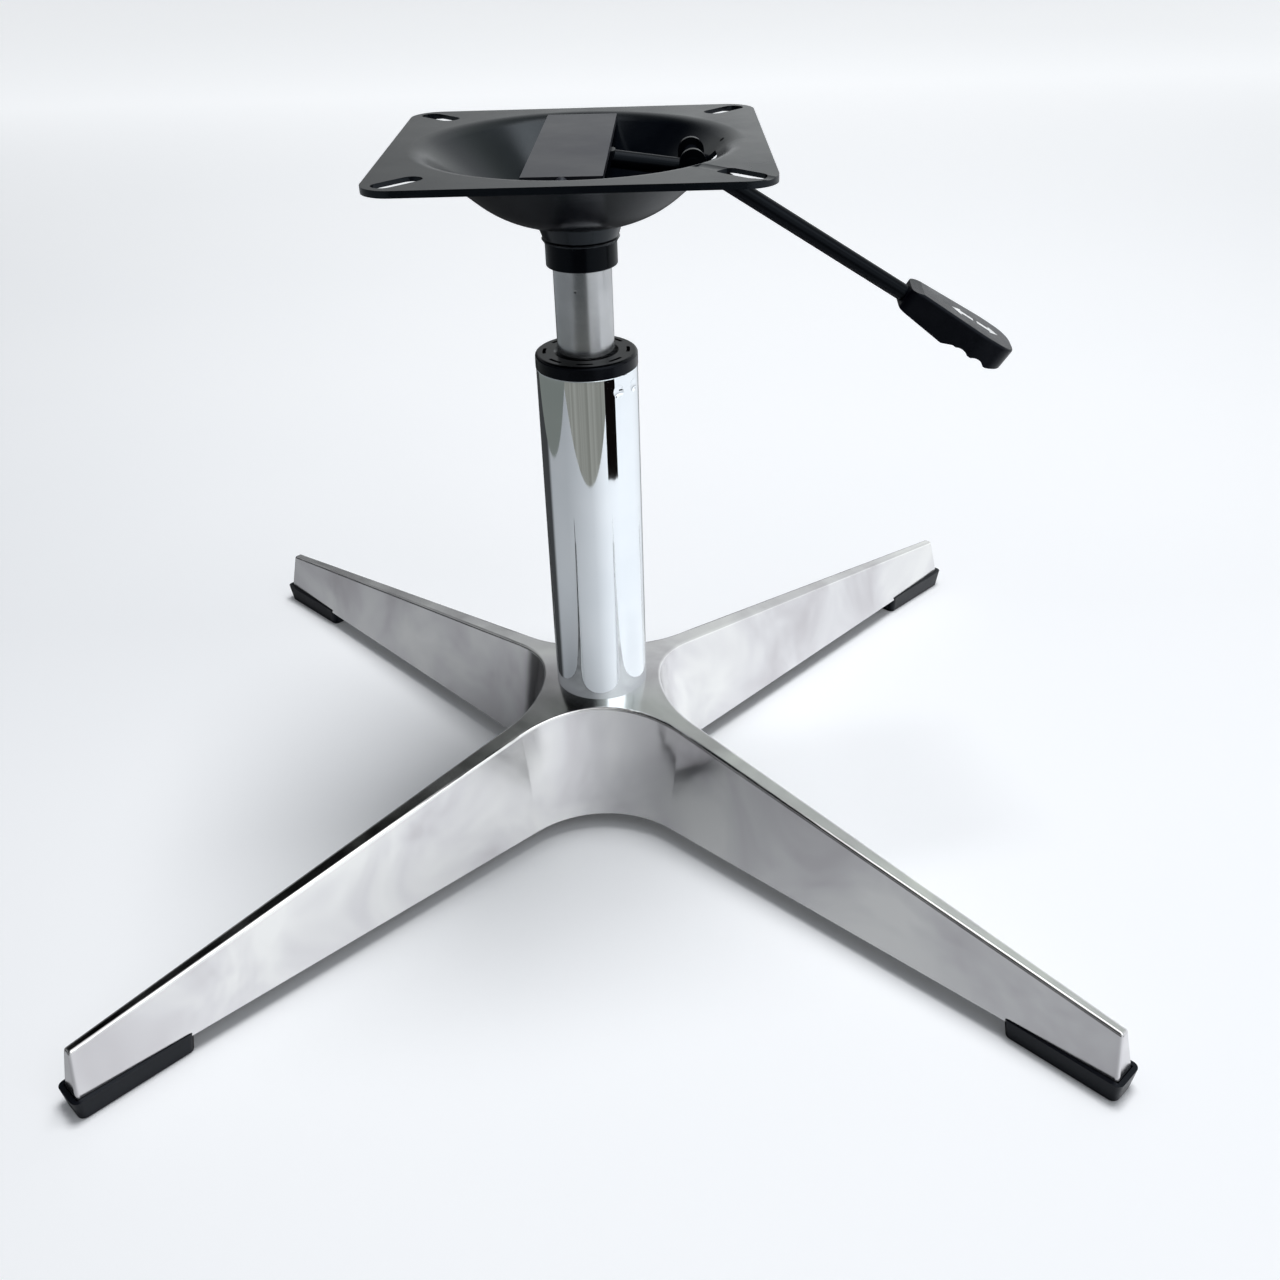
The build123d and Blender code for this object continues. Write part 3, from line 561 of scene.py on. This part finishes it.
# %% Weld beads on the seat
sleeve_low, sleeve_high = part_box("socket_sleeve")
sleeve_radius = (sleeve_high.x - sleeve_low.x) / 2
neck_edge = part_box("seat_plate")[0].z
ring_steps = 72
drop_spacing = 0.0011
drop_radius = 0.00085
neck_ring = [
    (
        sleeve_radius * cos(2 * pi * step / ring_steps),
        sleeve_radius * sin(2 * pi * step / ring_steps),
        neck_edge,
    )
    for step in range(ring_steps + 1)
]
weld_bead(
    "neck_weld", neck_ring, drop_spacing, drop_radius, 3, "seat", black_coat,
)

# %% [markdown]
# ## The mark on the handle
#
# The top of the handle carries a small white print that says which way the seat
# moves. Here it is a plain pair of arrows, up and down. Each arrow is seven points:
# a shaft and a head. The print is a film a tenth of a millimetre thick. Where the
# handle begins and ends and how high its top face lies are read from its own mesh.

# %% Arrow shape
arrow_length = 0.0125
arrow_head = 0.0052
arrow_half = 0.0034
arrow_shaft_half = 0.0013
arrow_gap = 0.0012
film = 0.0001


def arrow_outline(start, direction):
    """Seven points of an arrow, as (along, across), from a start along the handle."""
    end = start + direction * arrow_length
    neck = end - direction * arrow_head
    return [
        (start, -arrow_shaft_half), (neck, -arrow_shaft_half), (neck, -arrow_half), (end, 0),
        (neck, arrow_half), (neck, arrow_shaft_half), (start, arrow_shaft_half),
    ]


handle_points = [vertex.co for vertex in nodes["lever_handle"].data.vertices]
handle_start = min(point.dot(rod_along) for point in handle_points)
handle_end = max(point.dot(rod_along) for point in handle_points)
handle_top = max(point.dot(handle_up) for point in handle_points)
sides = [point.dot(handle_across) for point in handle_points]
handle_middle = (min(sides) + max(sides)) / 2
print("handle length", round(handle_end - handle_start, 4))

# %% [markdown]
# Both arrows start near the middle of the wider part of the handle and point apart.
# Each outline is laid down twice, on the face and one film's thickness above it, and
# joined by a wall, so the mark is closed. Its paint is worn in small patches.

# %% Make the mark
mark_share = 0.62


def make_mark():
    """Both arrows as one thin closed mesh on the handle's top face."""
    middle = handle_start + (handle_end - handle_start) * mark_share
    vertices = []
    faces = []
    for direction in (1, -1):
        outline = arrow_outline(middle + direction * arrow_gap, direction)
        base = len(vertices)
        count = len(outline)
        for lift in (0, film):
            for along, across in outline:
                place = rod_along * along + handle_up * (handle_top + lift)
                place += handle_across * (handle_middle + across)
                vertices.append(place)
        faces.append([base + count + index for index in range(count)])
        faces.append([base + index for index in reversed(range(count))])
        for index in range(count):
            after = (index + 1) % count
            wall = (index, after, count + after, count + index)
            faces.append([base + corner for corner in wall])
    mesh = bpy.data.meshes.new("handle_mark")
    mesh.from_pydata([tuple(v) for v in vertices], [], faces)
    mesh.validate()
    return mesh


def make_print_white():
    material, tree, shader, place = node_material("print_white")
    worn = clouds(tree, place, 700.0, detail=3.0)
    tree.links.new(
        ramp(tree, worn, [(0.3, (0.55, 0.56, 0.56)), (0.5, (0.80, 0.81, 0.81))]),
        shader.inputs["Base Color"],
    )
    tree.links.new(spread(tree, worn, 0.4, 0.55), shader.inputs["Roughness"])
    tree.links.new(bump(tree, worn, 0.00003), shader.inputs["Normal"])
    return material


print_white = make_print_white()
mark_mesh = make_mark()
mark_mesh.materials.append(print_white)
handle_mark = bpy.data.objects.new("handle_mark", mark_mesh)
bpy.context.scene.collection.objects.link(handle_mark)
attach(handle_mark, "lever")
print("mark faces:", len(mark_mesh.polygons))

# %% [markdown]
# ## Floor
#
# The part stands on a plain pale sweep. One big sheet is enough, because the camera
# looks down and never sees past it. What chrome shows, though, is the floor all
# round, also where no picture of the floor is taken. An upright mirror tube turns
# each straight edge on the floor into a pointed panel: it reaches lowest where the
# edge is nearest, and climbs to both sides. So three patches of painted reflection lie
# round the sheet, glows that glossy rays alone see. In front the pale sheet ends in a
# painted grey-green floor, to the left in a darker one, and between front and right
# stands a painted black wedge, seen from the column. Farther out, where only the gas
# cylinder looks, the front is darker, the left lighter and the right open.

# %% Places on the floor
floor_half = 6.0
camera_heading = radians(135.94)
sheet_front = 0.46          # from the column's axis to the pale sheet's front edge
sheet_left = 0.51           # and to its left edge
front_bearing = radians(-4)     # where each edge is nearest, counted from the camera
left_bearing = radians(-95)
wedge_bearings = (radians(38), radians(63))
wedge_start = 0.47
remote_start = 0.7          # from here to the next distance the shades change over
remote_end = 0.85
open_start = 0.78           # past this distance the right is open
open_bearing = 0.3          # from this bearing on, in radians


def past_edge(tree, at, bearing, distance):
    """1 beyond a straight edge that is nearest at a bearing, else 0."""
    across = calc(tree, "MULTIPLY", at["X"], sin(bearing))
    towards = calc(tree, "MULTIPLY", at["Y"], -cos(bearing))
    return calc(tree, "GREATER_THAN", calc(tree, "ADD", across, towards), distance)


print("sheet ends", sheet_front, "m in front and", sheet_left, "m to the left")

# %% [markdown]
# The shade of this painted reflection follows from two numbers: the distance from
# the column and the bearing, counted from the camera. Along the bearing the painted
# front floor has faint streaks, which the tube shows as upright lines.

# %% Painted reflection round the floor
def painted_mirror_floor(tree, at, distance):
    """The painted reflection round the sheet: its colour, and a mask of 1 where it lies."""
    front = past_edge(tree, at, front_bearing, sheet_front)
    left = past_edge(tree, at, left_bearing, sheet_left)
    bearing = calc(tree, "ARCTAN2", at["X"], calc(tree, "MULTIPLY", at["Y"], -1))
    wedge = product(
        tree,
        calc(tree, "GREATER_THAN", bearing, wedge_bearings[0]),
        calc(tree, "LESS_THAN", bearing, wedge_bearings[1]),
        calc(tree, "GREATER_THAN", distance, wedge_start),
    )
    streaks = tree.nodes.new("ShaderNodeTexNoise")
    streaks.noise_dimensions = "1D"
    streaks.inputs["Scale"].default_value = 7.0
    tree.links.new(bearing, streaks.inputs["W"])
    # painted reflection colours: a streaked grey-green floor in front, a darker one to the left, a
    # black wedge
    grey_green = ramp(tree, streaks.outputs["Fac"], [
        (0.35, (0.23, 0.23, 0.205)), (0.65, (0.33, 0.33, 0.30)),
    ])
    remote = spread(tree, distance, 0, 1, remote_start, remote_end)
    front_shade = blend_colours(tree, remote, grey_green, (0.09, 0.1, 0.11))
    left_shade = blend_colours(tree, remote, (0.185, 0.2, 0.185), (0.34, 0.36, 0.38))
    sides = blend_colours(tree, left, front_shade, left_shade)
    colour = blend_colours(tree, wedge, sides, (0.004, 0.003, 0.003))
    shown = calc(tree, "MAXIMUM", calc(tree, "MAXIMUM", front, left), wedge)
    open_right = product(
        tree,
        calc(tree, "GREATER_THAN", distance, open_start),
        calc(tree, "GREATER_THAN", bearing, open_bearing),
    )
    return colour, product(tree, shown, calc(tree, "SUBTRACT", 1, open_right))


# %% [markdown]
# For mirrors the pale sheet itself carries painted light that depends on the way a
# ray heads. A ray that heads right finds it brighter by a painted glow, and one that
# heads left finds it dimmer by painted shade. A ray that heads away from the camera,
# as those from the bowl's underside do, finds it dark, also painted shade. For the
# camera the sheet grows paler with distance, so it runs out into the background.
# Everything else sees a plain pale sheet.

# %% Floor material
near_floor = 0.6            # sideways and in front, the paler floor starts beyond this


def heading_share(tree, bearing):
    """How far a ray was heading one way when it met the floor, from -1 to 1."""
    incoming = tree.nodes.new("ShaderNodeNewGeometry").outputs["Incoming"]
    return along_fixed(tree, incoming, (-cos(bearing), -sin(bearing), 0))


def sheet_shader(tree, base, at, distance):
    """The pale sheet: painted shade and glow for mirrors, paler far off for the camera."""
    path = tree.nodes.new("ShaderNodeLightPath")
    mirrored = path.outputs["Is Glossy Ray"]
    rightward = heading_share(tree, camera_heading - pi / 2)
    away = heading_share(tree, camera_heading)
    # painted shade for mirrors only: rays heading left, or away from the camera, find the sheet
    # dimmer
    from_left = spread(tree, rightward, 0.42, 0.08, -0.8, 0.5)
    not_right = spread(tree, rightward, 1, 0, 0.1, 0.5)
    behind = product(tree, spread(tree, away, 0, 0.93, 0.15, 0.45), not_right)
    painted_dimming = product(tree, mirrored, calc(tree, "MAXIMUM", from_left, behind))
    painted_dimmed_sheet = blend_shaders(tree, painted_dimming, base, glow(tree, (0, 0, 0), 0))
    depth = calc(tree, "MAXIMUM", at["Y"], calc(tree, "SUBTRACT", distance, near_floor))
    paler = product(tree, path.outputs["Is Camera Ray"], spread(tree, depth, 0.06, 0.66, 0.2, 2.4))
    # painted glow for mirrors only: rays heading right find the sheet brighter
    painted_gleam = product(tree, mirrored, spread(tree, rightward, 0, 0.26, 0, 0.8))
    lit = tree.nodes.new("ShaderNodeAddShader")
    tree.links.new(painted_dimmed_sheet, lit.inputs[0])
    tree.links.new(
        glow(tree, (0.97, 0.985, 1.0), calc(tree, "ADD", paler, painted_gleam)), lit.inputs[1],
    )
    # the painted reflection round the sheet, shown to mirrors only as a glow
    colour, painted_floor_mask = painted_mirror_floor(tree, at, distance)
    dark = glow(tree, colour, 1)
    return blend_shaders(tree, product(tree, mirrored, painted_floor_mask), lit.outputs["Shader"], dark)


def make_floor_pale():
    material, tree, shader, place = node_material("floor_pale")
    faint = clouds(tree, place, 1.2, detail=3.0)
    tree.links.new(
        ramp(tree, faint, [(0.3, (0.885, 0.90, 0.92)), (0.7, (0.915, 0.925, 0.94))]),
        shader.inputs["Base Color"],
    )
    tree.links.new(spread(tree, faint, 0.6, 0.7), shader.inputs["Roughness"])
    shader.inputs["Specular IOR Level"].default_value = 0.2
    turned = stretched(tree, place, (1, 1, 1), (0, 0, pi / 2 - camera_heading))
    reach = tree.nodes.new("ShaderNodeVectorMath")
    reach.operation = "LENGTH"
    tree.links.new(turned, reach.inputs[0])
    seen = sheet_shader(
        tree, shader.outputs["BSDF"], axes(tree, turned), reach.outputs["Value"],
    )
    output = next(node for node in tree.nodes if node.type == "OUTPUT_MATERIAL")
    tree.links.new(seen, output.inputs["Surface"])
    return material


floor_pale = make_floor_pale()
print(floor_pale.name, "nodes:", len(floor_pale.node_tree.nodes))

# %% [markdown]
# The sheet itself is one flat square. It belongs to the stage, not to the part.

# %% Floor sheet
floor_mesh = bpy.data.meshes.new("floor")
floor_mesh.from_pydata(
    [(-floor_half, -floor_half, 0), (floor_half, -floor_half, 0),
     (floor_half, floor_half, 0), (-floor_half, floor_half, 0)],
    [], [(0, 1, 2, 3)],
)
floor_mesh.materials.append(floor_pale)
floor = bpy.data.objects.new("floor", floor_mesh)
bpy.context.scene.collection.objects.link(floor)
print("floor half width:", floor_half)

# %% [markdown]
# ## Room
#
# A studio for polished metal is mostly about what the metal sees. The room is pale
# low down and dull grey-green high up, darker to the left than to the right, and
# bright straight overhead. High up its two sides differ most. So the ridge of each
# arm has its own grey, the seat plate has a dark sheen, and the rounded edges carry
# a thin bright line. Dull surfaces get a weak, even light from it that is a little
# blue, and the camera sees it pale.

# %% Room
def backdrop(tree, colour, strength):
    """One background."""
    node = tree.nodes.new("ShaderNodeBackground")
    plug(tree, colour, node.inputs["Color"])
    plug(tree, strength, node.inputs["Strength"])
    return node.outputs["Background"]


def make_room():
    world = bpy.data.worlds.new("room")
    world.use_nodes = True
    tree = world.node_tree
    tree.nodes.clear()
    output = tree.nodes.new("ShaderNodeOutputWorld")
    direction = tree.nodes.new("ShaderNodeTexCoord").outputs["Generated"]
    height = axes(tree, direction)["Z"]
    seen = ramp(tree, height, [
        (0.0, (0.74, 0.76, 0.78)), (0.25, (0.56, 0.58, 0.58)), (0.5, (0.42, 0.43, 0.44)),
        (0.7, (0.19, 0.205, 0.195)), (0.88, (0.16, 0.17, 0.165)), (0.92, (1.0, 1.0, 1.0)),
    ])
    rightward = along_fixed(tree, direction, (sin(camera_heading), -cos(camera_heading), 0))
    low = spread(tree, rightward, 0.05, 2.0, -0.45, 0.5)
    half_way = spread(tree, rightward, 0.75, 1.9, -0.4, 0.4)
    high = spread(tree, rightward, 0.0, 3.6, -0.32, 0.32)
    upper = blend_values(tree, spread(tree, height, 0, 1, 0.5, 0.68), half_way, high)
    strength = blend_values(tree, spread(tree, height, 0, 1, 0.25, 0.33), low, upper)
    shiny = backdrop(tree, seen, strength)
    plain = backdrop(tree, (0.86, 0.92, 1.0), 0.14)
    pale = backdrop(tree, (0.90, 0.92, 0.945), 1)
    path = tree.nodes.new("ShaderNodeLightPath")
    felt = blend_shaders(tree, path.outputs["Is Glossy Ray"], plain, shiny)
    viewed = blend_shaders(tree, path.outputs["Is Camera Ray"], felt, pale)
    tree.links.new(viewed, output.inputs["Surface"])
    return world


bpy.context.scene.world = make_room()
print("room:", bpy.context.scene.world.name)

# %% [markdown]
# ## Lamps
#
# The light for dull surfaces comes mostly from one broad lamp almost overhead, a
# little to the right, so the shadows lie under the part. Mirrors don't show it. A
# weaker lamp in front, on the right, fills the shadows a little.

# %% Lamps
def soft_lamp(name, place, target, width, height, watts, colour):
    """A large area lamp that faces a target."""
    light = bpy.data.lights.new(name, "AREA")
    light.shape = "RECTANGLE"
    light.size = width
    light.size_y = height
    light.energy = watts
    light.color = colour
    lamp = bpy.data.objects.new(name, light)
    lamp.location = place
    aim = Vector(target) - Vector(place)
    lamp.rotation_euler = aim.to_track_quat("-Z", "Y").to_euler()
    bpy.context.scene.collection.objects.link(lamp)
    print(name, watts, "W")
    return lamp


def around(azimuth, distance, height):
    """A place given by its bearing from the camera's own heading, in degrees."""
    angle = camera_heading + radians(azimuth)
    return (distance * cos(angle), distance * sin(angle), height)


middle = (0, 0, 0.15)
key_place = around(-75, 0.36, 2.15)
fill_place = around(-140, 1.6, 1.8)
key_lamp = soft_lamp("key_lamp", key_place, middle, 0.9, 0.9, 38, (0.985, 0.99, 1.0))
key_lamp.visible_glossy = False
soft_lamp("fill_lamp", fill_place, middle, 1.6, 1.2, 8, (0.93, 0.96, 1.0))

# %% [markdown]
# ## Camera
#
# The camera's place, heading, tilt and roll were worked out from the arm ends, the
# column and the plate's corners in the picture. The lens is given for a 36 mm wide
# sensor. From the three angles come the camera's own right and up directions, and
# they go into its matrix as columns.

# %% Camera
camera_place = Vector((0.4642, -0.4187, 0.4821))
camera_tilt = radians(-31.64)
camera_roll = radians(-1.74)
camera_lens = 37.235

forward = Vector((
    cos(camera_heading) * cos(camera_tilt),
    sin(camera_heading) * cos(camera_tilt),
    sin(camera_tilt),
))
level_right = Vector((sin(camera_heading), -cos(camera_heading), 0))
level_up = level_right.cross(forward)
right = level_right * cos(camera_roll) + level_up * sin(camera_roll)
up = level_up * cos(camera_roll) - level_right * sin(camera_roll)
lens = bpy.data.cameras.new("camera")
lens.sensor_width = 36
lens.lens = camera_lens
camera = bpy.data.objects.new("camera", lens)
bpy.context.scene.collection.objects.link(camera)
turn = Matrix((right, up, -forward)).transposed().to_4x4()
camera.matrix_world = Matrix.Translation(camera_place) @ turn
bpy.context.scene.camera = camera
bpy.context.scene.view_settings.view_transform = "Standard"
print("camera looks along", tuple(round(v, 3) for v in forward))
